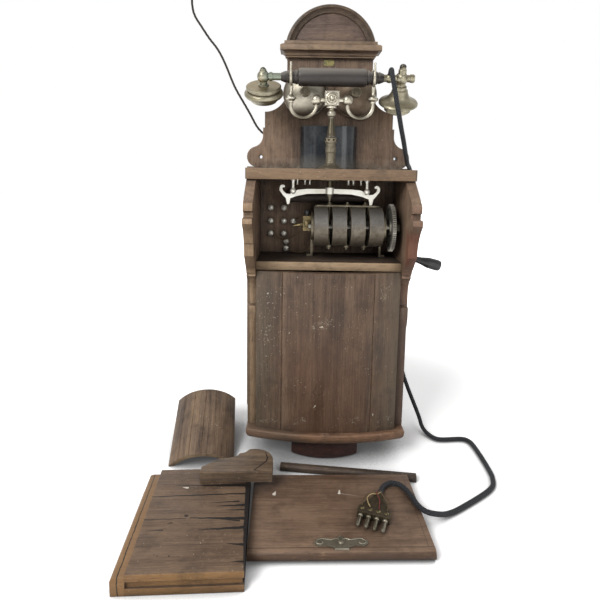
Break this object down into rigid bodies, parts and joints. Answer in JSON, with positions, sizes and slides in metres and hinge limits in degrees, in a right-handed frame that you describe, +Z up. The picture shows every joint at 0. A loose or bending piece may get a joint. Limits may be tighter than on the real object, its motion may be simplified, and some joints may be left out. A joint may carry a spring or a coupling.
{
  "type": "magneto wall telephone",
  "caption": "Magneto wall telephone of about 1900 with a two-hook cradle and handset, its lid off and its magneto showing, with loose wooden pieces before it",
  "frame": {"origin": "the middle of the foot's underside, on the floor", "axes": "+Z up; the front faces -Y, so the wall is at +Y; +X to the right as seen from the front, the crank's side"},
  "size_m": [0.4854, 0.3485, 0.707],
  "materials": {
    "walnut": "weathered, dull",
    "walnut_dark": "weathered, dark",
    "walnut_pale": "worn bare",
    "nickel": "dull nickel plate",
    "bell_bronze": "tarnished",
    "brass": "dull",
    "iron": "thin rust",
    "black_japan": "glossy, pitted",
    "copper_wire": "covered wire",
    "ebonite": "black ebonite",
    "ebonite_brown": "browned ebonite",
    "cloth_wire": "cotton covered",
    "braid": "braided cotton",
    "paper_zinc": "paper sleeve"
  },
  "bodies": {
    "case": {"backboard": "walnut", "crest_panel": "walnut", "crest_arch": "walnut_dark", "cornice": "walnut_dark", "shelf": "walnut_pale", "left_side": "walnut", "right_side": "walnut", "divider": "walnut_pale", "bottom_board": "walnut_dark", "foot": "walnut_dark", "dry_cells": "paper_zinc", "gong_left": "nickel", "gong_right": "bell_bronze", "gong_screws": "brass", "bell_cover": "black_japan", "bell_coils": "copper_wire", "column_flange": "brass", "column_tube": "brass", "column_ring": "brass", "cradle_spring": "iron", "switch_contacts": "nickel", "coil_bobbin": "walnut_dark", "coil_winding": "copper_wire", "magnets": "iron", "pole_shoes": "iron", "left_end_plate": "brass", "right_end_plate": "brass", "magneto_contact": "brass", "shaft_bush": "brass", "terminal_screws": "nickel", "wiring": "cloth_wire", "cord_lower": "braid", "cord_plug": "brass", "plug_pins": "nickel", "line_wire": "cloth_wire", "wire_eye": "brass", "half_round_cover": "walnut", "corbel": "walnut", "battery_tray": "walnut_pale", "desk_lid": "walnut", "lid_catch": "nickel", "loose_strip": "walnut_dark"},
    "crank": {"drive_gear": "iron", "crank_shaft": "iron", "crank_arm": "iron"},
    "grip": {"crank_grip": "ebonite"},
    "armature": {"armature": "iron", "pinion": "brass"},
    "handset": {"handle": "ebonite_brown", "receiver": "nickel", "receiver_arm": "nickel", "transmitter": "nickel", "transmitter_arm": "nickel", "cord_upper": "braid"},
    "cradle": {"cradle_stem": "nickel", "left_hook": "nickel", "right_hook": "nickel", "switch_bar": "nickel"},
    "clapper": {"clapper": "iron"},
    "battery_cover": {"battery_cover": "walnut"}
  },
  "joints": [
    {"name": "crank_turn", "type": "hinge", "parent": "case", "child": "crank", "pos_m": [0, -0.008, 0.349], "axis": [1, 0, 0], "continuous": true},
    {"name": "armature_spin", "type": "hinge", "parent": "case", "child": "armature", "pos_m": [0, 0.032, 0.349], "axis": [1, 0, 0], "continuous": true},
    {"name": "grip_spin", "type": "hinge", "parent": "crank", "child": "grip", "pos_m": [0.1245, -0.008, 0.304], "axis": [0.9659, 0, -0.2588], "continuous": true},
    {"name": "handset_lift", "type": "slide", "parent": "case", "child": "handset", "axis": [0, 0, 1], "range_m": [0, 0.08]},
    {"name": "cradle_rise", "type": "slide", "parent": "case", "child": "cradle", "axis": [0, 0, 1], "range_m": [0, 0.005], "deforming": ["cradle_spring"]},
    {"name": "clapper_swing", "type": "hinge", "parent": "case", "child": "clapper", "pos_m": [0, 0.036, 0.482], "axis": [0, 1, 0], "range_deg": [-3, 3], "stiffness_Nm_per_rad": 0.02},
    {"name": "cover_pull", "type": "slide", "parent": "case", "child": "battery_cover", "axis": [0, -1, 0], "range_m": [0, 0.12]}
  ],
  "couplings": [
    {"joint": "armature_spin", "follows": "crank_turn", "ratio": -5.6667},
    {"joint": "cradle_rise", "follows": "handset_lift", "ratio": 0.0625}
  ]
}
